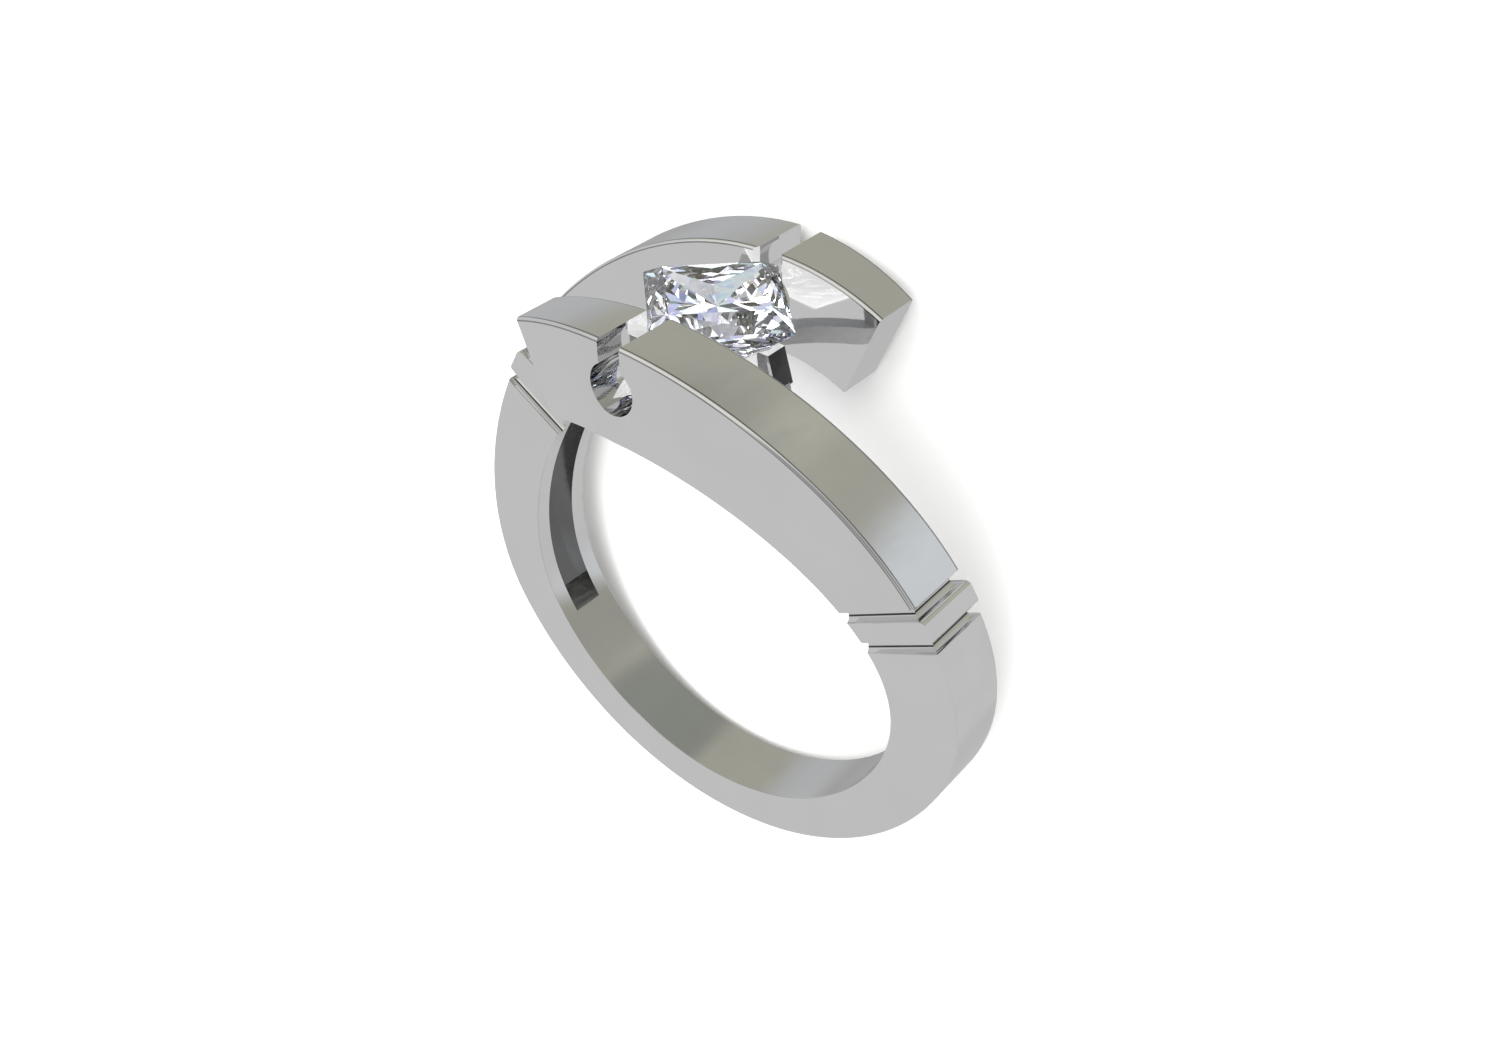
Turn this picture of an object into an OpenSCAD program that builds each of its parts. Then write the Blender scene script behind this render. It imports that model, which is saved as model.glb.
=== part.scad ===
// Twist ring with one square stone held between two arms that swing past each other.
// Sizes are in millimetres. The ring lies on its side as it rests on a table:
// +Z is up, the stone side points to -Y, and the origin is under the middle of the box.
// The shapes are made upright first: finger hole along Y, stone on top at +Z.
// Angles go round the finger hole from the bottom of the band, up its right side.

/* [Finger] */
// Inside diameter of the band
finger_d = 16.5; // [15:0.1:17.5]

/* [Band] */
// Thickness of the band at the bottom
bottom_t = 1.6; // [1.4:0.1:2]
// Height of the arms above the finger at the top
top_t = 3.35; // [3.1:0.05:3.6]
// Width of the band
band_w = 2.42; // [2.2:0.02:2.8]

/* [Arms] */
// How far each arm swings out to its own side
swing = 3.62; // [3.5:0.02:3.8]
// Angle at which the swing starts
swing_from = 62; // [55:1:70]
// Angle at which the swing is full
swing_full = 182; // [176:1:188]
// Angle at which the arm starts to narrow
taper_from = 110; // [100:1:125]
// Width of an arm beside the stone
arm_w = 2.25; // [2.1:0.05:2.5]
// Width of an arm at its free end
tip_w = 1.74; // [1.5:0.02:2]
// How far the free end reaches past the top
tip_past = 22; // [18:1:26]

/* [Shoulder grooves] */
// Angle of the upper groove, which points at the finger's centre
groove_angle = 120; // [117:1:123]
// Distance from the upper groove to the lower one beside it
groove_gap = 1.27; // [1:0.01:1.5]
// Width of a groove
groove_w = 0.45; // [0.3:0.05:0.6]
// Depth of a groove
groove_depth = 0.3; // [0.2:0.05:0.35]

// How far the collar between the two grooves stands out
collar_rise = 0.09; // [0:0.01:0.15]

/* [Pockets] */
// Thickness of the walls on the two sides of a pocket
pocket_wall = 0.6; // [0.5:0.05:0.8]
// Depth of a pocket into the band
pocket_depth = 1.25; // [0.8:0.05:1.3]
// Height of a pocket's flat end below the finger's centre
pocket_drop = 4.65; // [3:0.05:5]
// Angle at which a pocket ends inside the arm
pocket_to = 126; // [123:3:129]

/* [Keyholes] */
// Width of the slot cut down through the top of each arm
slot_w = 0.86; // [0.7:0.02:1]
// Diameter of the round hole that the slot ends in
keyhole_d = 1.68; // [1.4:0.02:1.8]
// Height of the round hole above the finger's centre
keyhole_z = 10.07; // [9.8:0.01:10.3]

/* [Stone] */
// Side of the square stone
stone_side = 4.25; // [4.1:0.01:4.3]
// Height of the stone's widest edge above the finger's centre
stone_z = 10.93; // [10.9:0.01:11]
// Height from that edge up to the flat top
crown_h = 0.46; // [0.3:0.01:0.5]
// Thickness of the upright rim round the stone
rim_h = 0.1; // [0.06:0.01:0.14]
// Depth from the rim to the point
point_depth = 2.38; // [2.2:0.01:2.45]
// Gap kept between the stone and the metal
stone_gap = 0.06; // [0.04:0.01:0.1]

/* [Prongs and rail] */
// Height of the flat seat on each prong
prong_z = 10.05; // [9.9:0.01:10.1]
// Width of each prong across the ring
prong_w = 0.8; // [0.6:0.05:1]
// Thickness of each prong under the stone
prong_t = 0.44; // [0.36:0.02:0.6]
// Height of the rail's underside above the finger's centre
rail_z = 8.36; // [8.35:0.01:8.45]
// Height of the rail
rail_h = 0.6; // [0.5:0.05:0.7]
// Reach of the rail from the stone's axis to its outer corners
rail_reach = 2.9; // [2.8:0.02:3]

/* [Hidden] */
$fn = 180;

// Sizes that follow from the ones above
finger_r = finger_d / 2;
outer_r = finger_r + (bottom_t + top_t) / 2;
outer_lift = (top_t - bottom_t) / 2;
tip_angle = 180 + tip_past;
pocket_r = finger_r + pocket_depth;
stone_reach = stone_side / sqrt(2);
rim_z = stone_z - rim_h;

// Radii just inside the finger hole and just outside the metal, where the side faces start and end
side_in = finger_r - 0.35;
side_out = finger_r + top_t + 0.5;

// Longer and thicker than any part of the ring
through = 40;

// Angles at which the sides of the ring are set out, from the bottom to a free end
straight_step = 15;
arm_step = 3;
tip_steps = 8;
angles = [
    for (a = [0 : straight_step : 45]) a,
    for (a = [60 : arm_step : 180]) a,
    for (i = [1 : tip_steps]) 180 + tip_past * i / tip_steps
];

function blend(a, a0, a1, v0, v1) = v0 + (v1 - v0) * min(1, max(0, (a - a0) / (a1 - a0)));

// How far the middle of an arm has swung sideways at an angle
function swing_at(a) =
    a < swing_from ? 0 : swing / 2 * (1 - cos((a - swing_from) * 180 / (swing_full - swing_from)));

// How much further it swings over one degree
function swing_rate(a) = swing_at(a + 0.5) - swing_at(a - 0.5);

// Width of the band at an angle
function width_at(a) =
    a < 180 ? blend(a, taper_from, 180, band_w, arm_w) : blend(a, 180, tip_angle, arm_w, tip_w);

// The ring lies on the bottom of the band and on one arm beside the stone
arm_side = swing_at(180) + arm_w / 2;
slot_side = 180 - asin(slot_w / 2 / (finger_r + top_t));
slot_z = outer_lift + sqrt(pow(outer_r, 2) - pow(slot_w / 2, 2));
rest_tilt = atan((arm_side - band_w / 2) / (finger_r + finger_r + bottom_t));
rest_lift = band_w / 2 * cos(rest_tilt) + (finger_r + bottom_t) * sin(rest_tilt);
reach_top = (swing_at(slot_side) + width_at(slot_side) / 2) * sin(rest_tilt) + slot_z * cos(rest_tilt);
reach_bottom = band_w / 2 * sin(rest_tilt) + (finger_r + bottom_t) * cos(rest_tilt);
rest_back = (reach_top - reach_bottom) / 2;

function on_circle(r, a, y) = [r * sin(a), y, -r * cos(a)];
function half_turn(p) = [-p[0], -p[1], p[2]];

// Four corners of the section at an angle on the right, with both sides moved in by trim
function right_section(a, trim) =
    let (near = -swing_at(a) - width_at(a) / 2 + trim, back = -swing_at(a) + width_at(a) / 2 - trim)
    [
        on_circle(side_in, a, near),
        on_circle(side_out, a, near),
        on_circle(side_out, a, back),
        on_circle(side_in, a, back)
    ];

// The same section on the left, half a turn round the stone's axis away
function left_section(a, trim) =
    let (c = right_section(a, trim))
    [half_turn(c[3]), half_turn(c[2]), half_turn(c[1]), half_turn(c[0])];

// Solid through a row of four-cornered sections
module loft(sections) {
    last = 4 * (len(sections) - 1);
    skin = [
        for (i = [0 : 4 : last - 1], j = [0 : 3])
            let (p = i + j, q = i + (j + 1) % 4)
            each [[p, q + 4, q], [p, p + 4, q + 4]]
    ];
    ends = [[0, 1, 2, 3], [last + 3, last + 2, last + 1, last]];
    polyhedron([for (s = sections) each s], concat(skin, ends), convexity = 6);
}

// The whole ring: one round wall between the two free ends, which pass each other at the top
module wall() {
    count = len(angles);
    sections = [
        for (i = [1 : count - 1]) left_section(angles[count - i], 0),
        for (a = angles) right_section(a, 0)
    ];
    intersection() {
        loft(sections);
        rotate([90, 0, 0])
            linear_extrude(through, center = true)
                difference() {
                    union() {
                        translate([0, outer_lift]) circle(outer_r);
                        collar_outline();
                        mirror([1, 0]) collar_outline();
                    }
                    circle(finger_r);
                }
    }
}

// Distance of the ring's outside from the finger's centre, along a groove at a height beside it
lean = groove_angle - 90;
function outside_at(z) =
    outer_lift * sin(lean) + sqrt(pow(outer_r, 2) - pow(z - outer_lift * cos(lean), 2));

// Collar between the two grooves, seen from in front: its upper corner is cut off more
module collar_outline() {
    up = -groove_w / 2;
    low = groove_w / 2 - groove_gap;
    up_x = outside_at(up) + collar_rise;
    low_x = outside_at(low) + collar_rise;
    rotate(lean)
        polygon([
            [finger_r + 1, up],
            [up_x - 0.15, up],
            [up_x - 0.02, up - 0.15],
            [low_x, low + 0.06],
            [low_x - 0.06, low],
            [finger_r + 1, low]
        ]);
}

// Hollow in the finger side of one shoulder, with a wall left on each side of it
module pocket() {
    intersection() {
        loft([for (a = [51 : arm_step : pocket_to]) right_section(a, pocket_wall)]);
        rotate([90, 0, 0]) cylinder(h = through, r = pocket_r, center = true);
        translate([0, -through / 2, -pocket_drop]) cube(through);
    }
}

// Cutter for a groove along X: round at the bottom, open towards +Z, with its lip at z = 0
module groove_cut(length) {
    bottom = groove_w / 2 - groove_depth;
    translate([0, 0, bottom]) rotate([0, 90, 0]) cylinder(h = length, d = groove_w, $fn = 40);
    translate([0, -groove_w / 2, bottom]) cube([length, groove_w, 2]);
}

// One groove of a shoulder, at a distance below the upper one: on the front, the back and the outside
module groove(drop) {
    start = finger_r - 1;
    length = side_out - start;
    a = groove_angle - atan(drop / (finger_r + 1.5));
    slope = atan(swing_rate(a) * 180 / PI / (finger_r + 1.5));
    rotate([0, -lean, 0]) translate([0, -swing_at(a), -drop]) {
        translate([start, -width_at(a) / 2, 0]) rotate([90 + slope, 0, 0]) groove_cut(length);
        translate([start, width_at(a) / 2, 0]) rotate([slope - 90, 0, 0]) groove_cut(length);
        translate([outside_at(-drop), band_w, 0]) rotate([0, 90, 0]) rotate([0, 0, -90]) groove_cut(2 * band_w);
    }
}

// Slot and round hole that go through both arms beside the stone
module keyholes() {
    translate([-slot_w / 2, -through / 2, keyhole_z]) cube([slot_w, through, through]);
    translate([0, 0, keyhole_z]) rotate([90, 0, 0]) cylinder(h = through, d = keyhole_d, center = true);
}

// Upright square block whose corners point along X and Y, as the stone's do
module square_block(reach, z0, z1) {
    side = reach * sqrt(2);
    translate([0, 0, z0]) rotate([0, 0, 45]) translate([-side / 2, -side / 2, 0]) cube([side, side, z1 - z0]);
}

// Rings of four points from the flat top to the lower facets, each ring at its own turn
function ring_of_4(reach, turn, z) =
    [for (k = [0 : 3]) [reach * cos(90 * k + turn), reach * sin(90 * k + turn), z]];

// The cut stone, grown on all sides by grow: flat top, upper facets, rim, lower facets and point
module gem(grow) {
    reach = stone_reach + grow * sqrt(2);
    half = stone_side / 2;
    top_z = stone_z + crown_h;
    depth = point_depth + grow;
    points = concat(
        ring_of_4(0.72 * reach, 0, top_z),
        ring_of_4(0.875 * half + grow, 45, stone_z + 0.6 * crown_h),
        ring_of_4(reach, 0, stone_z),
        ring_of_4(reach, 0, rim_z),
        ring_of_4(0.82 * half + grow, 45, rim_z - 0.3 * depth),
        ring_of_4(0.47 * half + grow, 45, rim_z - 0.68 * depth),
        [[0, 0, rim_z - depth]]
    );
    point = 24;
    facets = [
        [3, 2, 1, 0],
        for (k = [0 : 3])
            let (n = (k + 1) % 4, t = k, c = 4 + k, g = 8 + k, h = 12 + k, p = 16 + k, q = 20 + k)
            each [
                [t, n, c], [t, c, g], [n, 8 + n, c], [c, 8 + n, g],
                [g, 8 + n, 12 + n, h],
                [h, 12 + n, p], [h, p, q], [12 + n, q, p],
                [h, q, point], [12 + n, point, q]
            ]
    ];
    polyhedron(points, facets, convexity = 2);
}

// A flat plate across the ring, drawn from in front: distance from the stone's axis and height
module plate(width, outline) {
    rotate([90, 0, 0]) linear_extrude(width, center = true) polygon(outline);
}

// One prong under a corner of the stone: a leaning bar that starts inside the rail
module prong() {
    base_z = rail_z + 0.1;
    seat_in = 1.87;
    seat_out = seat_in + prong_t;
    drop = prong_z - base_z;
    plate(prong_w, [
        [seat_in, prong_z],
        [seat_out, prong_z],
        [seat_out + 0.3 * drop, base_z],
        [seat_in + 0.12 * drop, base_z]
    ]);
}

// Square rail under the stone that ties the prongs to both arms
module rail() {
    bar = 0.8;
    difference() {
        square_block(rail_reach, rail_z, rail_z + rail_h);
        square_block(rail_reach - bar, rail_z - 1, rail_z + rail_h + 1);
    }
}

module both_sides() {
    children();
    rotate([0, 0, 180]) children();
}

// Lays the upright ring on its side as it rests
module at_rest() {
    translate([0, rest_back, rest_lift])
        rotate([0, 0, 180])
            rotate([rest_tilt - 90, 0, 0])
                children();
}

module band() {
    color([0.78, 0.78, 0.79])
        at_rest() {
            difference() {
                wall();
                both_sides() {
                    pocket();
                    groove(0);
                    groove(groove_gap);
                }
                keyholes();
                square_block(stone_reach + stone_gap, rim_z - 0.15, stone_z + 4);
            }
            rail();
            both_sides()
                difference() {
                    prong();
                    gem(stone_gap);
                }
        }
}

module stone() {
    color([0.92, 0.95, 1])
        at_rest() gem(0);
}

band();
stone();
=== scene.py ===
import math

import bmesh
import bpy
from mathutils import Matrix, Vector


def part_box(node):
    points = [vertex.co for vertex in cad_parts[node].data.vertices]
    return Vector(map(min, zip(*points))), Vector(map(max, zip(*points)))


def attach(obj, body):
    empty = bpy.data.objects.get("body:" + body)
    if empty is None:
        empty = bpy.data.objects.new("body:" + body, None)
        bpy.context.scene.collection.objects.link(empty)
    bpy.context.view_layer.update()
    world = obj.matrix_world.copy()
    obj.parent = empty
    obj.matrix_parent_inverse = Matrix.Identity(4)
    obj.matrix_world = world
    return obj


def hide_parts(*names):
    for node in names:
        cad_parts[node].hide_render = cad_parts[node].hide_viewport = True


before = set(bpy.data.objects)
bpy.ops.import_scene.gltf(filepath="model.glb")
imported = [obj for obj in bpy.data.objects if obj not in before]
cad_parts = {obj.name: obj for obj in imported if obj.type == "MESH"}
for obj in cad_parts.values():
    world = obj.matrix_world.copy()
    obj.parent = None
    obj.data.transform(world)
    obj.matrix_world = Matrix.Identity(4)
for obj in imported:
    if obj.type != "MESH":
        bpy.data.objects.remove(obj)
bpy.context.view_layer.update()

# Twist ring with one square stone, modelled upright first: finger hole along Y, stone on top at +Z.
# Angles go round the finger hole from the bottom of the band, up its right side.

# The upright ring is modelled in millimetres, and becomes metres when it is laid down
MM = 0.001

# The band
FINGER_R = 8.25
BOTTOM_THICK = 1.6
TOP_THICK = 3.35
BAND_WIDTH = 2.42
OUTER_R = FINGER_R + (BOTTOM_THICK + TOP_THICK) / 2
OUTER_LIFT = (TOP_THICK - BOTTOM_THICK) / 2

# The two arms
SWING = 3.62
SWING_FROM = math.radians(62)
SWING_FULL = math.radians(182)
TAPER_FROM = math.radians(110)
ARM_WIDTH = 2.25
TIP_WIDTH = 1.74
TOP = math.pi
TIP = TOP + math.radians(22)

# Grooves and collar on each shoulder
GROOVE_ANGLE = math.radians(120)
GROOVE_LEAN = GROOVE_ANGLE - math.pi / 2
GROOVE_GAP = 1.27
GROOVE_WIDTH = 0.45
GROOVE_DEPTH = 0.3
COLLAR_RISE = 0.09
COLLAR_PROUD = 0.01
COLLAR_ROUND = 0.2
COLLAR_CORNER = 0.06
COLLAR_THICK = 1.5
COLLAR_BENT = math.radians(70)
COLLAR_BEND_STEP = math.radians(14)

# The bar that the collar is cut from: its ends, and its inner and outer side inside and outside the metal
COLLAR_FROM = GROOVE_ANGLE - math.radians(12)
COLLAR_TO = GROOVE_ANGLE + math.radians(4)
COLLAR_INNER = FINGER_R + 1
COLLAR_OUTER = FINGER_R + TOP_THICK + 0.5

# The groove cutters: start, length and middle of those on the sides, and how far each goes on outwards
GROOVE_START = FINGER_R - 1
GROOVE_LENGTH = TOP_THICK + 1.5
GROOVE_REACH = FINGER_R + 1.5
GROOVE_OPEN = 2
GROOVE_TURNS = 24

# Painted dark reflection along a groove: the share of the cutter's Y in its normal, and how far off it may be
STRIPE_ON_SIDES = 0.61
STRIPE_OUTSIDE = 0.13
STRIPE_WIDTH = 0.07

# Hollows inside the shoulders
POCKET_WALL = 0.6
POCKET_OPEN_R = FINGER_R - 0.35
POCKET_R = FINGER_R + 1.25
POCKET_FLOOR = -4.65
POCKET_FROM = math.radians(51)
POCKET_TO = math.radians(126)

# Slot and round hole through each arm
SLOT_WIDTH = 0.86
KEYHOLE_R = 0.84
KEYHOLE_HEIGHT = 10.07
KEYHOLE_TURNS = 96

# The stone
STONE_HALF = 2.125
STONE_REACH = STONE_HALF * math.sqrt(2)
STONE_HEIGHT = 10.93
CROWN_HEIGHT = 0.46
RIM_HEIGHT = 0.1
STONE_DEPTH = 2.38
STONE_GAP = 0.06
SEAT_DROP = 0.15
TABLE_SHARE = 0.72
CROWN_SHARE = 0.875
CROWN_RISE = 0.6

# Middles of the chevrons of the lower facets: share of the stone's half width and of its depth
CHEVRONS = ((0.82, 0.30), (0.66, 0.49), (0.47, 0.68), (0.245, 0.84))

# Prongs and the square rail that carries them
PRONG_HEIGHT = 10.05
PRONG_WIDTH = 0.8
PRONG_THICK = 0.44
PRONG_FROM = 1.87
PRONG_LEAN = 0.3
PRONG_INNER_LEAN = 0.12
PRONG_SUNK = 0.06
RAIL_HEIGHT = 8.36
RAIL_THICK = 0.6
RAIL_REACH = 2.9
RAIL_BAR = 0.8

# Rounded edges
LONG_EDGE = 0.12
INNER_EDGE = 0.05
CUT_EDGE = 0.03

# Corners closer than this are one where the two halves meet, and shorter edges are closed up
SEAM = 0.0001
SLIVER = 0.001

# Planes and rises nearer than this count as touching
TOUCH = 0.00001

# A face looks a certain way when this share of its normal points there
FACING = 0.7

# Faces of the rounded edge that carry its painted dark line of shade: how far they lean out, and how far
# sideways
LINE_LEANS_OUT = (0.1, 0.4)
LINE_LEANS_ASIDE = (0.1, 0.3)

# Angles between faces: long edges above the first are rounded, those below the second are shaded smooth, and
# those below the third are taken away
SHARP_EDGE = 1.0
SMOOTH_TURN = math.radians(32)
FLAT_TURN = math.radians(0.2)

# An edge runs along an arm when its ends are this far apart round the finger hole
ALONG_ARM = 0.01

# A corner this near to the arm's last angle is on its end
AT_TIP = 0.001

# Longer than any part of the ring
THROUGH = 40

# How finely the arms and pockets follow their curves
ARM_STEP = math.radians(2)
POCKET_STEP = math.radians(2.5)


def blend(a, a0, a1, v0, v1):
    """Runs evenly from one value to another between two angles, and stays level outside them."""
    return v0 + (v1 - v0) * min(1, max(0, (a - a0) / (a1 - a0)))


def swing_at(a):
    """How far the middle of an arm has swung sideways at an angle."""
    if a < SWING_FROM:
        return 0.0
    return SWING / 2 * (1 - math.cos((a - SWING_FROM) * math.pi / (SWING_FULL - SWING_FROM)))


def width_at(a):
    """Width of the band at an angle."""
    if a < TOP:
        return blend(a, TAPER_FROM, TOP, BAND_WIDTH, ARM_WIDTH)
    return blend(a, TOP, TIP, ARM_WIDTH, TIP_WIDTH)


def outer_at(a):
    """Distance of the ring's outside from the finger's centre at an angle."""
    return math.sqrt(OUTER_R**2 - (OUTER_LIFT * math.sin(a)) ** 2) - OUTER_LIFT * math.cos(a)


def outside_at(height):
    """The same distance along a groove, at a height beside the groove's line."""
    return OUTER_LIFT * math.sin(GROOVE_LEAN) + math.sqrt(
        OUTER_R**2 - (height - OUTER_LIFT * math.cos(GROOVE_LEAN)) ** 2
    )


# The ring lies on the bottom of the band and on one arm beside the stone
ARM_SIDE = swing_at(TOP) + ARM_WIDTH / 2
REST_TILT = math.atan((ARM_SIDE - BAND_WIDTH / 2) / (2 * FINGER_R + BOTTOM_THICK))
REST_LIFT = BAND_WIDTH / 2 * math.cos(REST_TILT) + (FINGER_R + BOTTOM_THICK) * math.sin(REST_TILT)


# Small helpers for work by hand


def start():
    """Leaves edit mode with nothing selected."""
    if bpy.context.mode != "OBJECT":
        bpy.ops.object.mode_set(mode="OBJECT")
    bpy.ops.object.select_all(action="DESELECT")


def take(piece):
    """Selects one piece alone."""
    start()
    piece.select_set(True)
    bpy.context.view_layer.objects.active = piece
    return piece


def edit(piece):
    take(piece)
    bpy.ops.object.mode_set(mode="EDIT")
    return piece


def made(name):
    """Names the primitive that was just added, and puts its place into its mesh."""
    piece = bpy.context.active_object
    piece.name = name
    bpy.ops.object.transform_apply(location=True, rotation=True, scale=True)
    return piece


def pick(piece, kind, test):
    """Selects the corners, edges or faces of the piece in edit mode that pass a test."""
    modes = {"verts": "VERT", "edges": "EDGE", "faces": "FACE"}
    bpy.ops.mesh.select_mode(type=modes[kind])
    bpy.ops.mesh.select_all(action="DESELECT")
    mesh = bmesh.from_edit_mesh(piece.data)
    for part in getattr(mesh, kind):
        part.select_set(bool(test(part)))
    mesh.select_flush_mode()
    bmesh.update_edit_mesh(piece.data)


def coat(piece, slot, test):
    """Gives the faces of the piece in edit mode that pass a test the finish of a slot."""
    pick(piece, "faces", test)
    piece.active_material_index = slot
    bpy.ops.object.material_slot_assign()


def turn(angle, axis, centre=(0, 0, 0)):
    """Turns the selection by the right-hand rule."""
    bpy.ops.transform.rotate(value=-angle, orient_axis=axis, center_override=centre)


def place(piece, matrix):
    """Puts a whole piece somewhere, and the place into its mesh."""
    take(piece)
    piece.matrix_world = matrix
    bpy.ops.object.transform_apply(location=True, rotation=True, scale=True)
    return piece


def copy_of(piece, name):
    take(piece)
    bpy.ops.object.duplicate()
    twin = bpy.context.active_object
    twin.name = name
    return twin


def combine(piece, tool, how):
    """Cuts a tool out of a piece, or joins or meets them, and throws the tool away."""
    take(piece)
    cut = piece.modifiers.new("cut", "BOOLEAN")
    cut.operation = how
    cut.solver = "EXACT"
    cut.material_mode = "TRANSFER"
    cut.object = tool
    bpy.ops.object.modifier_apply(modifier=cut.name)
    bpy.data.objects.remove(tool)
    return piece


def trim(piece, point, outward):
    """Cuts off all of a piece that lies outside a plane, and closes it there."""
    edit(piece)
    bpy.ops.mesh.select_all(action="SELECT")
    bpy.ops.mesh.bisect(
        plane_co=point, plane_no=outward, use_fill=True, clear_inner=False, clear_outer=True, threshold=TOUCH
    )
    start()
    return piece


def trim_between(piece, a, b, c):
    """Cuts a piece along the plane through three points, and keeps the finger's side of it."""
    a, b, c = Vector(a), Vector(b), Vector(c)
    outward = (b - a).cross(c - a).normalized()
    if outward.dot(a - piece_middle(piece)) < 0:
        outward = -outward
    return trim(piece, a, outward)


def piece_middle(piece):
    corners = [v.co for v in piece.data.vertices]
    return sum(corners, Vector()) / len(corners)


def block(name, low, high):
    """A box between two corners."""
    low, high = Vector(low), Vector(high)
    bpy.ops.mesh.primitive_cube_add(size=1, location=(low + high) / 2, scale=high - low)
    return made(name)


# Bars that follow an arm


def around(point):
    """Angle of a point round the finger hole."""
    return math.atan2(point.x, -point.z) % (2 * math.pi)


def follow_arm(name, angles, inner, outer, trim_width=0.0):
    """A bar of square section along the right arm, drawn out from one angle to the next."""

    def width(a):
        return width_at(a) - 2 * trim_width

    a0 = angles[0]
    start()
    bpy.ops.mesh.primitive_plane_add(size=1, location=(0, 0, 0), rotation=(0, math.pi / 2, 0))
    bar = made(name)
    edit(bar)
    bpy.ops.mesh.select_all(action="SELECT")
    bpy.ops.transform.resize(value=(1, width(a0), outer(a0) - inner), center_override=(0, 0, 0))
    bpy.ops.transform.translate(value=(0, -swing_at(a0), -(inner + outer(a0)) / 2))
    turn(-a0, "Y")
    for a1 in angles[1:]:
        bpy.ops.mesh.extrude_region_move()
        turn(a0 - a1, "Y")
        bpy.ops.transform.translate(value=(0, swing_at(a0) - swing_at(a1), 0))
        middle = (0, -swing_at(a1), 0)
        bpy.ops.transform.resize(value=(1, width(a1) / width(a0), 1), center_override=middle)
        rise = outer(a1) - outer(a0)
        if abs(rise) > TOUCH:
            mesh = bmesh.from_edit_mesh(bar.data)
            end = [v for v in mesh.verts if v.select]
            limit = (inner + outer(a0)) / 2
            for v in end:
                v.select_set(math.hypot(v.co.x, v.co.z) > limit)
            bpy.ops.transform.translate(value=(rise * math.sin(a1), 0, -rise * math.cos(a1)))
            for v in end:
                v.select_set(True)
            mesh.select_flush_mode()
            bmesh.update_edit_mesh(bar.data)
        a0 = a1
    bpy.ops.mesh.select_all(action="SELECT")
    bpy.ops.mesh.normals_make_consistent(inside=False)
    start()
    return bar


def steps(a0, a1, step):
    """Angles from one to another in even steps of about the given size."""
    count = max(1, round((a1 - a0) / step))
    return [a0 + (a1 - a0) * i / count for i in range(count + 1)]


def collar():
    """The raised band between the two grooves, with its outer corners cut off and rounded."""
    up = -GROOVE_WIDTH / 2
    low = GROOVE_WIDTH / 2 - GROOVE_GAP
    up_x = outside_at(up) + COLLAR_RISE
    low_x = outside_at(low) + COLLAR_RISE
    span = steps(COLLAR_FROM, COLLAR_TO, ARM_STEP)
    piece = follow_arm("collar", span, COLLAR_INNER, lambda a: COLLAR_OUTER, -COLLAR_PROUD)
    lean = Matrix.Rotation(-GROOVE_LEAN, 4, "Y")
    corners = [(up_x - COLLAR_THICK, up)]
    for t in steps(0, COLLAR_BENT, COLLAR_BEND_STEP):
        corners.append((up_x - COLLAR_ROUND * (1 - math.sin(t)), up - COLLAR_ROUND * (1 - math.cos(t))))
    corners += [(low_x, low + COLLAR_CORNER), (low_x - COLLAR_CORNER, low), (low_x - COLLAR_THICK, low)]
    for (x0, z0), (x1, z1) in zip(corners, corners[1:]):
        outward = lean.to_3x3() @ Vector((z0 - z1, 0, x1 - x0))
        trim(piece, lean @ Vector((x0, 0, z0)), outward)
    return piece


def pocket(metals):
    """Cutter for the hollow in the finger side of a shoulder, whose walls get painted shade, with its flat
    end left as cast.
    """
    span = steps(POCKET_FROM, POCKET_TO, POCKET_STEP)
    piece = follow_arm("pocket", span, POCKET_OPEN_R, lambda a: POCKET_R, POCKET_WALL)
    trim(piece, (0, 0, POCKET_FLOOR), (0, 0, -1))
    piece.data.materials.append(metals["hollow"])
    piece.data.materials.append(metals["hollow_end"])
    edit(piece)
    coat(piece, 1, lambda f: f.normal.z < -FACING)
    start()
    return piece


def groove_cutter(length, metals, stripe):
    """Cutter for a groove along X, round at the bottom, open towards +Z, with its lip at z = 0.

    One stripe of the groove gets a painted dark reflection; its side is given as the share of Y in its
    normal.
    """
    bottom = GROOVE_WIDTH / 2 - GROOVE_DEPTH
    bpy.ops.mesh.primitive_cylinder_add(
        vertices=GROOVE_TURNS,
        radius=GROOVE_WIDTH / 2,
        depth=length,
        location=(length / 2, 0, bottom),
        rotation=(0, math.pi / 2, 0),
    )
    piece = made("groove")
    edit(piece)
    pick(piece, "verts", lambda v: v.co.z > bottom + SEAM)
    bpy.ops.transform.translate(value=(0, 0, GROOVE_OPEN))
    start()
    piece.data.materials.append(metals["cuts"])
    piece.data.materials.append(metals["painted_dark_reflection"])
    edit(piece)
    coat(piece, 1, lambda f: f.normal.z < 0 and abs(f.normal.y - stripe) < STRIPE_WIDTH)
    start()
    return piece


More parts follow.
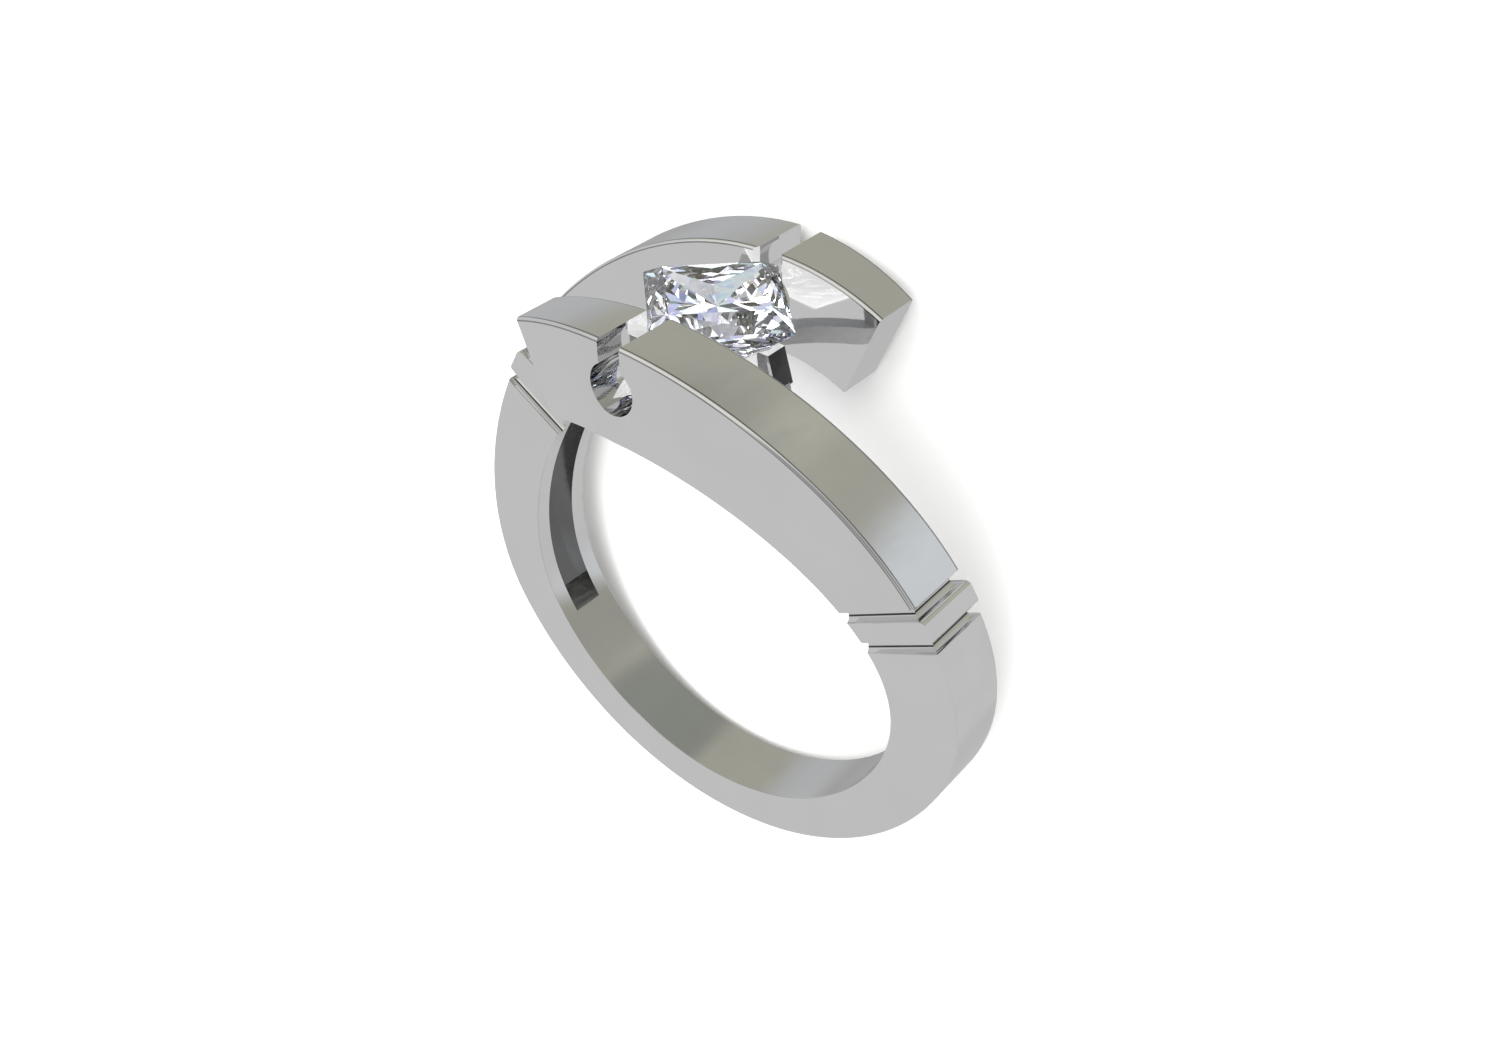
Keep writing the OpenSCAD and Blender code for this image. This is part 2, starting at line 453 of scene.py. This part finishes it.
def grooves(drop, metals):
    """The three cutters of one groove of a shoulder: front, back and outside."""
    a = GROOVE_ANGLE - math.atan(drop / GROOVE_REACH)
    near = math.radians(1)
    slope = math.atan((swing_at(a + near) - swing_at(a - near)) / (2 * near) / GROOVE_REACH)
    lean = Matrix.Rotation(-GROOVE_LEAN, 4, "Y") @ Matrix.Translation((0, -swing_at(a), -drop))
    half = width_at(a) / 2
    quarter = math.pi / 2
    front = Matrix.Translation((GROOVE_START, -half, 0)) @ Matrix.Rotation(quarter + slope, 4, "X")
    back = Matrix.Translation((GROOVE_START, half, 0)) @ Matrix.Rotation(slope - quarter, 4, "X")
    outside = (
        Matrix.Translation((outside_at(-drop), BAND_WIDTH, 0))
        @ Matrix.Rotation(quarter, 4, "Y")
        @ Matrix.Rotation(-quarter, 4, "Z")
    )
    return [
        place(groove_cutter(GROOVE_LENGTH, metals, -STRIPE_ON_SIDES), lean @ front),
        place(groove_cutter(GROOVE_LENGTH, metals, STRIPE_ON_SIDES), lean @ back),
        place(groove_cutter(2 * BAND_WIDTH, metals, STRIPE_OUTSIDE), lean @ outside),
    ]


def keyhole_slot():
    return block("slot", (-SLOT_WIDTH / 2, -THROUGH / 2, KEYHOLE_HEIGHT), (SLOT_WIDTH / 2, 0, THROUGH))


def keyhole_round():
    bpy.ops.mesh.primitive_cylinder_add(
        vertices=KEYHOLE_TURNS,
        radius=KEYHOLE_R,
        depth=THROUGH / 2,
        location=(0, -THROUGH / 4, KEYHOLE_HEIGHT),
        rotation=(math.pi / 2, 0, 0),
    )
    return made("keyhole")


def square_block(name, reach, low, high):
    """An upright square block whose corners point along X and Y, as the stone's do."""
    side = reach * math.sqrt(2)
    bpy.ops.mesh.primitive_cube_add(
        size=1,
        location=(0, 0, (low + high) / 2),
        rotation=(0, 0, math.pi / 4),
        scale=(side, side, high - low),
    )
    return made(name)


def rail():
    """The square rail under the stone: a slab with its middle let through."""
    piece = square_block("rail", RAIL_REACH, RAIL_HEIGHT, RAIL_HEIGHT + RAIL_THICK)
    edit(piece)
    pick(piece, "faces", lambda f: abs(f.normal.z) > FACING)
    bpy.ops.mesh.inset(thickness=RAIL_BAR / math.sqrt(2))
    bpy.ops.mesh.bridge_edge_loops()
    start()
    return piece


def prong(metals):
    """One prong: a bar that leans out from the stone down to the rail, cut to the stone's shape.

    Its outer side gets a painted dark reflection.
    """
    base = RAIL_HEIGHT + RAIL_THICK - PRONG_SUNK
    seat_out = PRONG_FROM + PRONG_THICK
    drop = PRONG_HEIGHT - base
    low = (PRONG_FROM, -PRONG_WIDTH / 2, base)
    high = (seat_out + drop, PRONG_WIDTH / 2, PRONG_HEIGHT)
    bar = block("prong", low, high)
    trim(bar, (PRONG_FROM, 0, PRONG_HEIGHT), (-1, 0, -PRONG_INNER_LEAN))
    trim(bar, (seat_out, 0, PRONG_HEIGHT), (1, 0, PRONG_LEAN))
    bar.data.materials.append(metals["cuts"])
    bar.data.materials.append(metals["painted_dark_reflection"])
    edit(bar)
    coat(bar, 1, lambda f: f.normal.x > FACING)
    start()
    return combine(bar, cut_stone("seat", STONE_GAP), "DIFFERENCE")


def cut_stone(name, grow=0.0):
    """The square stone, cut facet by facet out of a block: flat top, upper facets, rim and lower facets."""
    reach = STONE_REACH + grow * math.sqrt(2)
    top = STONE_HEIGHT + CROWN_HEIGHT
    rim = STONE_HEIGHT - RIM_HEIGHT
    depth = STONE_DEPTH + grow
    piece = square_block(name, reach, rim - depth, top)

    def corner(k, out, height):
        return Vector((out * math.cos(k * math.pi / 2), out * math.sin(k * math.pi / 2), height))

    def side(k, share, height):
        return corner(k + 0.5, share * STONE_HALF + grow, height)

    point = Vector((0, 0, rim - depth))
    for k in range(4):
        flat0, flat1 = (corner(k + i, TABLE_SHARE * reach, top) for i in (0, 1))
        edge0, edge1 = (corner(k + i, reach, STONE_HEIGHT) for i in (0, 1))
        low0, low1 = (corner(k + i, reach, rim) for i in (0, 1))
        crown = side(k, CROWN_SHARE, STONE_HEIGHT + CROWN_RISE * CROWN_HEIGHT)
        trim_between(piece, flat0, flat1, crown)
        trim_between(piece, flat0, crown, edge0)
        trim_between(piece, flat1, edge1, crown)
        trim_between(piece, crown, edge1, edge0)
        keel = [side(k, share, rim - down * depth) for share, down in CHEVRONS] + [point]
        trim_between(piece, low0, low1, keel[0])
        for upper, lower in zip(keel, keel[1:]):
            trim_between(piece, low0, upper, lower)
            trim_between(piece, low1, upper, lower)
    return piece


def half_ring(metals):
    """The right arm with all that is cut into it, from the bottom of the band to its free end."""
    arm = follow_arm("arm", steps(0, TIP, ARM_STEP), FINGER_R, outer_at)
    for surface in ("sides", "outside", "inside", "edges"):
        arm.data.materials.append(metals[surface])
    edit(arm)
    middle = FINGER_R + BOTTOM_THICK / 2

    def runs_along(e, outside):
        v0, v1 = (v.co for v in e.verts)
        along = abs(math.atan2(v0.x * v1.z - v0.z * v1.x, v0.x * v1.x + v0.z * v1.z)) > ALONG_ARM
        return along and e.calc_face_angle(0) > SHARP_EDGE and (math.hypot(v0.x, v0.z) > middle) == outside

    def radial(f):
        middle_of = f.calc_center_median()
        return (f.normal.x * middle_of.x + f.normal.z * middle_of.z) / math.hypot(middle_of.x, middle_of.z)

    coat(arm, 1, lambda f: radial(f) > FACING)
    coat(arm, 2, lambda f: radial(f) < -FACING)
    for outside, size, rounds in ((True, LONG_EDGE, 4), (False, INNER_EDGE, 2)):
        pick(arm, "edges", lambda e: runs_along(e, outside))
        bpy.ops.mesh.bevel(offset=size, segments=rounds, affect="EDGES")

    # The painted dark line of shade along the rounded edges of the arms, above the grooves
    def edge_line(f):
        out, aside = radial(f), abs(f.normal.y)
        beside_side = LINE_LEANS_OUT[0] < out < LINE_LEANS_OUT[1]
        beside_outside = out > FACING and LINE_LEANS_ASIDE[0] < aside < LINE_LEANS_ASIDE[1]
        return (beside_side or beside_outside) and around(f.calc_center_median()) > GROOVE_ANGLE

    coat(arm, 3, edge_line)
    pick(arm, "edges", lambda e: all(abs(around(v.co) - TIP) < AT_TIP for v in e.verts))
    bpy.ops.mesh.bevel(offset=CUT_EDGE, segments=2, affect="EDGES")
    start()
    combine(arm, collar(), "UNION")
    for cutter in (*grooves(0, metals), *grooves(GROOVE_GAP, metals)):
        combine(arm, cutter, "DIFFERENCE")
    rim = STONE_HEIGHT - RIM_HEIGHT
    seat = square_block("stone_seat", STONE_REACH + STONE_GAP, rim - SEAT_DROP, THROUGH)
    combine(arm, pocket(metals), "DIFFERENCE")
    for cutter in (keyhole_slot(), keyhole_round(), seat):
        cutter.data.materials.append(metals["cuts"])
        combine(arm, cutter, "DIFFERENCE")
    return arm


def whole_ring(metals):
    """Both arms in one piece of metal, with the rail and the prongs soldered in."""
    ring = half_ring(metals)
    edit(ring)

    def bottom_cut(f):
        middle_of = f.calc_center_median()
        return abs(f.normal.x) > FACING and abs(middle_of.x) < SEAM and middle_of.z < 0

    pick(ring, "faces", bottom_cut)
    bpy.ops.mesh.delete(type="ONLY_FACE")
    start()
    other = place(copy_of(ring, "other_arm"), Matrix.Rotation(math.pi, 4, "Z"))
    take(ring)
    other.select_set(True)
    bpy.ops.object.join()
    edit(ring)
    pick(ring, "verts", lambda v: abs(v.co.x) < SEAM and v.co.z < 0)
    bpy.ops.mesh.remove_doubles(threshold=SEAM)
    start()
    square = rail()
    square.data.materials.append(metals["rail"])
    other_prong = place(prong(metals), Matrix.Rotation(math.pi, 4, "Z"))
    for part in (square, prong(metals), other_prong):
        combine(ring, part, "UNION")
    return ring


def finish_edges(ring):
    """Takes away what the cuts left over, and shades the round parts smooth."""
    edit(ring)
    bpy.ops.mesh.select_all(action="SELECT")
    bpy.ops.mesh.dissolve_degenerate(threshold=SLIVER)
    bpy.ops.mesh.dissolve_limited(angle_limit=FLAT_TURN, delimit={"MATERIAL"})
    start()
    take(ring)
    bpy.ops.object.shade_smooth_by_angle(angle=SMOOTH_TURN)
    even = ring.modifiers.new("even", "WEIGHTED_NORMAL")
    even.keep_sharp = True
    bpy.ops.object.modifier_apply(modifier=even.name)


def rest_pose():
    """Lays the upright ring on its side as it rests on the floor."""
    back = BAND_WIDTH / 2 * math.sin(REST_TILT) + (FINGER_R + BOTTOM_THICK) * math.cos(REST_TILT)
    rest_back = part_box("band")[1].y / MM - back
    return (
        Matrix.Scale(MM, 4)
        @ Matrix.Translation((0, rest_back, REST_LIFT))
        @ Matrix.Rotation(math.pi, 4, "Z")
        @ Matrix.Rotation(REST_TILT - math.pi / 2, 4, "X")
    )


# Materials


class Nodes:
    """Adds nodes to a tree, and joins them by socket name, or by number with a _ before it."""

    def __init__(self, tree):
        self.tree = tree

    def add(self, kind, settings=None, **inputs):
        node = self.tree.nodes.new("ShaderNode" + kind)
        for name, value in (settings or {}).items():
            setattr(node, name, value)
        for name, value in inputs.items():
            socket = node.inputs[int(name[1:])] if name[0] == "_" else node.inputs[name.replace("_", " ")]
            if isinstance(value, bpy.types.NodeSocket):
                self.tree.links.new(value, socket)
            else:
                socket.default_value = value
        return node


def set_steps(ramp, colours):
    """Fills a colour ramp with even steps of plain colours."""
    ramp.interpolation = "CONSTANT"
    while len(ramp.elements) < len(colours):
        ramp.elements.new(1.0)
    for k, colour in enumerate(colours):
        ramp.elements[k].position = k / len(colours)
        ramp.elements[k].color = (*colour, 1)


# Polish marks: their depth in metres, how far the lines are drawn out, and the clouds' share in the relief
MARK_DEPTH = 0.00001
LINES_DRAWN = (1.0, 1.0, 0.06)
CLOUDS_IN_RELIEF = 0.35

# Shares of the clouds at which the metal is fully dark and fully light, shares of the lines between which the
# roughness changes, and the factor by which it changes each way
CLOUDS_DARK = 0.35
CLOUDS_LIGHT = 0.65
LINES_SMOOTH = 0.3
LINES_ROUGH = 0.7
ROUGHER = 1.25


def polish_marks():
    """Node group: what a polishing wheel leaves on metal, as fine lines, soft clouds and their relief."""
    group = bpy.data.node_groups.new("polish_marks", "ShaderNodeTree")
    face = group.interface
    for name, value in (("Line Size", 5000.0), ("Cloud Size", 420.0), ("Strength", 1.0)):
        face.new_socket(name, in_out="INPUT", socket_type="NodeSocketFloat").default_value = value
    for name in ("Lines", "Clouds", "Height"):
        face.new_socket(name, in_out="OUTPUT", socket_type="NodeSocketFloat")
    n = Nodes(group)
    given = group.nodes.new("NodeGroupInput").outputs
    out = group.nodes.new("NodeGroupOutput")
    spot = n.add("TexCoord").outputs["Object"]
    stretched = n.add("Mapping", _0=spot, Scale=LINES_DRAWN).outputs[0]
    lines = n.add("TexNoise", _0=stretched, Scale=given["Line Size"], Detail=3.0, Roughness=0.6).outputs[0]
    clouds = n.add("TexNoise", _0=spot, Scale=given["Cloud Size"], Detail=4.0, Roughness=0.55).outputs[0]
    both = n.add("Math", {"operation": "MULTIPLY_ADD"}, _0=clouds, _1=CLOUDS_IN_RELIEF, _2=lines).outputs[0]
    height = n.add("Math", {"operation": "MULTIPLY"}, _0=both, _1=given["Strength"]).outputs[0]
    for name, socket in (("Lines", lines), ("Clouds", clouds), ("Height", height)):
        group.links.new(socket, out.inputs[name])
    return group


def white_metal(name, marks, light, dark, rough, bump):
    """White gold with the polish marks of one kind of surface, clouded from a light to a dark grey."""
    metal = bpy.data.materials.new(name)
    metal.use_nodes = True
    tree = metal.node_tree
    tree.nodes.clear()
    n = Nodes(tree)
    mark = n.add("Group", {"node_tree": marks})
    colour = n.add("ValToRGB", _0=mark.outputs["Clouds"])
    colour.color_ramp.elements[0].position = CLOUDS_DARK
    colour.color_ramp.elements[0].color = (dark, dark, dark, 1)
    colour.color_ramp.elements[1].position = CLOUDS_LIGHT
    colour.color_ramp.elements[1].color = (light, light, light, 1)
    gloss = n.add(
        "MapRange",
        _0=mark.outputs["Lines"],
        _1=LINES_SMOOTH,
        _2=LINES_ROUGH,
        _3=rough / ROUGHER,
        _4=rough * ROUGHER,
    )
    relief = n.add("Bump", Strength=bump, Distance=MARK_DEPTH, Height=mark.outputs["Height"])
    skin = n.add(
        "BsdfPrincipled",
        Base_Color=colour.outputs[0],
        Metallic=1.0,
        Roughness=gloss.outputs[0],
        Normal=relief.outputs[0],
    )
    n.add("OutputMaterial", Surface=skin.outputs[0])
    return metal


# How strongly the stone bends light
REFRACTION = 2.42

# Painted fire: patches of the colours that the facets break light into
FIRE_SIZE = 2600.0
FIRE = (
    (0.76, 0.74, 1.0),
    (1.0, 1.0, 1.0),
    (0.74, 0.94, 1.0),
    (1.0, 1.0, 1.0),
    (1.0, 0.96, 0.9),
    (1.0, 1.0, 1.0),
)

# Light that has met this many facets is deep in the stone, where some patches glow as painted glints and
# those below zero stay dark
GLINT_AFTER = 4.5
GLINT = (-0.25, 0.22)

# Mirrored once in the metal the stone is a painted reflection, a pale glowing shape, and hardly anything is
# seen through it
MIRRORED_ONCE = 1.5
MIRRORED_CLEAR = (0.02, 0.02, 0.02, 1)
MIRRORED_SHINE = (0.84, 0.84, 0.84, 1)

# Light has been through a facet when it counts more crossings than this
IN_STONE = 0.5


def clear_stone():
    """A colourless cut stone with painted fire, small patches of cold and warm colour.

    Two kinds of light get painted light instead: light that has met many facets gets painted glints, and
    light from a mirror a painted pale reflection.
    """
    glass = bpy.data.materials.new("cut_clear_stone")
    glass.use_nodes = True
    tree = glass.node_tree
    tree.nodes.clear()
    n = Nodes(tree)
    spot = n.add("TexCoord").outputs["Object"]
    fire = n.add("TexVoronoi", _0=spot, Scale=FIRE_SIZE, Randomness=1.0)
    part = n.add("SeparateColor", _0=fire.outputs["Color"])
    colour = n.add("ValToRGB", _0=part.outputs[0])
    set_steps(colour.color_ramp, FIRE)
    # Painted glints: deep in the stone some patches glow by emission
    glint = n.add("MapRange", _0=part.outputs[1], _1=0.0, _2=1.0, _3=GLINT[0], _4=GLINT[1]).outputs[0]
    path = n.add("LightPath").outputs
    deep = n.add("Math", {"operation": "GREATER_THAN"}, _0=path["Ray Depth"], _1=GLINT_AFTER).outputs[0]
    glow = n.add("Math", {"operation": "MULTIPLY", "use_clamp": True}, _0=deep, _1=glint).outputs[0]
    outside = n.add("Math", {"operation": "LESS_THAN"}, _0=path["Transmission Depth"], _1=IN_STONE).outputs[0]
    # Painted reflection: seen once in the metal the stone glows pale and lets hardly anything through
    once = n.add("Math", {"operation": "LESS_THAN"}, _0=path["Ray Depth"], _1=MIRRORED_ONCE).outputs[0]
    in_metal = n.add("Math", {"operation": "MULTIPLY"}, _0=outside, _1=path["Is Glossy Ray"]).outputs[0]
    mirrored = n.add("Math", {"operation": "MULTIPLY"}, _0=in_metal, _1=once).outputs[0]
    clear = n.add("Mix", {"data_type": "RGBA"}, _0=mirrored, _6=colour.outputs[0], _7=MIRRORED_CLEAR)
    shine = n.add("Mix", {"data_type": "RGBA"}, _0=mirrored, _6=colour.outputs[0], _7=MIRRORED_SHINE)
    strength = n.add("Math", {"operation": "MAXIMUM"}, _0=glow, _1=mirrored).outputs[0]
    skin = n.add(
        "BsdfPrincipled",
        Base_Color=clear.outputs[2],
        Metallic=0.0,
        Roughness=0.0,
        IOR=REFRACTION,
        Transmission_Weight=1.0,
        Emission_Color=shine.outputs[2],
        Emission_Strength=strength,
    )
    n.add("OutputMaterial", Surface=skin.outputs[0])
    return glass


# Floor, light and camera


# The plain room
ROOM = (0.64, 0.64, 0.64, 1)

# Lighter, darker and cooler parts of the room: azimuth and height of their middle in degrees, how far they
# reach, how far they are full, and their shade
SHADES = (
    (10, 48, 52, 34, (0.86, 0.85, 0.80)),
    (-95, 48, 40, 24, (0.34, 0.34, 0.34)),
    (10, -32, 64, 42, (0.437, 0.430, 0.370)),
    (-16, -31, 12, 2, (0.50, 0.50, 0.43)),
    (-17, -14, 17, 9, (0.29, 0.30, 0.27)),
    (-3, -14, 17, 9, (0.29, 0.30, 0.27)),
    (11, -14, 17, 9, (0.29, 0.30, 0.27)),
    (-71, -41, 18, 6, (0.72, 0.75, 0.78)),
    (-56, -16, 24, 14, (0.38, 0.375, 0.33)),
    (75, -44, 22, 6, (0.51, 0.525, 0.54)),
    (136, -54, 42, 24, (0.42, 0.42, 0.42)),
    (178, -50, 18, 9, (0.56, 0.56, 0.56)),
)

# What the facets of the stone pick up from the room
SPARKLE_SIZE = 4.5
SPARKLE = (
    (1.3, 1.3, 1.3),
    (0.12, 0.12, 0.14),
    (0.78, 0.78, 1.10),
    (0.34, 0.34, 0.37),
    (1.0, 1.0, 1.0),
    (0.52, 0.58, 0.95),
    (0.08, 0.08, 0.09),
    (0.76, 0.87, 0.93),
)

# Width of the floor in metres
FLOOR_SIZE = 4

# Soft boxes: azimuth and height in degrees, distance, width and height in metres, and brightness
LAMPS = (
    (-46, 62, 0.35, 0.34, 0.26, 3.6),
    (-120, 60, 0.35, 0.30, 0.24, 2.0),
    (40, 60, 0.35, 0.30, 0.24, 2.0),
)


def floor():
    bpy.ops.mesh.primitive_plane_add(size=FLOOR_SIZE, location=(0, 0, 0))
    ground = made("floor")
    pale = bpy.data.materials.new("pale_floor")
    pale.use_nodes = True
    skin = pale.node_tree.nodes["Principled BSDF"]
    skin.inputs["Base Color"].default_value = (0.95, 0.95, 0.95, 1)
    skin.inputs["Roughness"].default_value = 0.9
    ground.data.materials.append(pale)
    ground.visible_glossy = False


def way(azimuth, height):
    """Direction in the room: azimuth 0 looks to -Y and 90 to +X."""
    a, h = math.radians(azimuth), math.radians(height)
    return Vector((math.sin(a) * math.cos(h), -math.cos(a) * math.cos(h), math.sin(h)))


def surroundings():
    """Soft light from all round, with patches that only light from inside the stone meets."""
    world = bpy.data.worlds.new("studio")
    bpy.context.scene.world = world
    world.use_nodes = True
    tree = world.node_tree
    tree.nodes.clear()
    n = Nodes(tree)
    seen = n.add("TexCoord").outputs["Generated"]
    shade = ROOM
    for azimuth, height, wide, narrow, tint in SHADES:
        toward = way(azimuth, height)
        dot = n.add("VectorMath", {"operation": "DOT_PRODUCT"}, _0=seen, _1=toward).outputs["Value"]
        share = n.add(
            "MapRange",
            {"interpolation_type": "SMOOTHSTEP"},
            _0=dot,
            _1=math.cos(math.radians(wide)),
            _2=math.cos(math.radians(narrow)),
            _3=0.0,
            _4=1.0,
        ).outputs[0]
        shade = n.add("Mix", {"data_type": "RGBA"}, _0=share, _6=shade, _7=(*tint, 1)).outputs[2]
    patch = n.add("TexVoronoi", _0=seen, Scale=SPARKLE_SIZE, Randomness=1.0)
    pick_one = n.add("SeparateColor", _0=patch.outputs["Color"]).outputs[0]
    sparkle = n.add("ValToRGB", _0=pick_one)
    set_steps(sparkle.color_ramp, SPARKLE)
    crossings = n.add("LightPath").outputs["Transmission Depth"]
    through_stone = n.add("Math", {"operation": "GREATER_THAN"}, _0=crossings, _1=IN_STONE).outputs[0]
    seen_light = n.add("Mix", {"data_type": "RGBA"}, _0=through_stone, _6=shade, _7=sparkle.outputs[0])
    light = n.add("Background", Color=seen_light.outputs[2], Strength=1.0)
    n.add("OutputWorld", Surface=light.outputs[0])


def lamps():
    for k, (azimuth, height, distance, wide, high, bright) in enumerate(LAMPS):
        toward = way(azimuth, height)
        bpy.ops.object.light_add(type="AREA", location=toward * distance)
        lamp = bpy.context.active_object
        lamp.name = "soft_box_%d" % (k + 1)
        lamp.rotation_euler = toward.to_track_quat("Z", "Y").to_euler()
        lamp.data.shape = "RECTANGLE"
        lamp.data.size = wide
        lamp.data.size_y = high
        lamp.data.energy = bright * math.pi * wide * high
        lamp.visible_glossy = False


# The camera round the upright ring: degrees to the right of its front, degrees above, distance and the steps
# sideways and up
CAMERA_AROUND = 38.976
CAMERA_ABOVE = 37.288
CAMERA_AWAY = 50.67
CAMERA_RIGHT = 1.011
CAMERA_UP = 1.933

# Its lens and the width of its frame in millimetres, and the nearest thing it sees in metres
LENS = 35
FRAME_WIDTH = 36
NEAREST = 0.001


def camera(rest):
    """The camera of the photograph, placed round the upright ring and laid down with it."""
    back = way(CAMERA_AROUND, CAMERA_ABOVE)
    right = way(CAMERA_AROUND + 90, 0)
    up = back.cross(right)
    spot = CAMERA_AWAY * back + CAMERA_RIGHT * right + CAMERA_UP * up
    bpy.ops.object.camera_add()
    eye = bpy.context.active_object
    eye.name = "camera"
    eye.data.sensor_width = FRAME_WIDTH
    eye.data.lens = LENS
    eye.data.clip_start = NEAREST
    turned = Matrix((right, up, back)).transposed().to_4x4()
    laid_down = rest @ Matrix.Translation(spot) @ turned
    eye.location = laid_down.to_translation()
    eye.rotation_mode = "QUATERNION"
    eye.rotation_quaternion = laid_down.to_quaternion()
    bpy.context.scene.camera = eye


# Building the ring, laying it down and putting it in place of the model's parts


def all_metals():
    """Every finish of the white gold, and the painted dark line, dark reflection and shade: light and dark
    grey, roughness and depth of the marks.
    """
    marks = polish_marks()
    return {
        "sides": white_metal("polished_sides", marks, 0.80, 0.78, 0.05, 0.02),
        "outside": white_metal("polished_outside", marks, 0.80, 0.76, 0.14, 0.06),
        "inside": white_metal("polished_inside", marks, 0.78, 0.74, 0.12, 0.06),
        # Painted dark line of shade along the rounded edges
        "edges": white_metal("edge_shade", marks, 0.40, 0.30, 0.12, 0.02),
        "cuts": white_metal("polished_cuts", marks, 0.80, 0.76, 0.03, 0.0),
        # Painted dark reflection: near black, for one stripe in each groove and for the prongs' outer sides
        "painted_dark_reflection": white_metal("painted_dark_reflection", marks, 0.10, 0.05, 0.30, 0.05),
        # Painted shade: the hollow's walls darker than the polished sides
        "hollow": white_metal("hollow_painted_shade", marks, 0.58, 0.53, 0.08, 0.02),
        "hollow_end": white_metal("cast_hollow_end", marks, 0.90, 0.80, 0.43, 0.05),
        "rail": white_metal("cast_rail", marks, 0.90, 0.82, 0.70, 0.05),
    }


start()
rest = rest_pose()
camera(rest)
floor()
surroundings()
lamps()
bpy.context.scene.view_settings.view_transform = "Standard"

ring = whole_ring(all_metals())
finish_edges(ring)
ring.name = "ring_metal"
stone = cut_stone("cut_stone")
stone.data.materials.append(clear_stone())

for piece, node, slot in ((ring, "band", "white_metal"), (stone, "stone", "clear_stone")):
    place(piece, rest)
    start()
    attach(piece, "root")
    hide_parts(node)
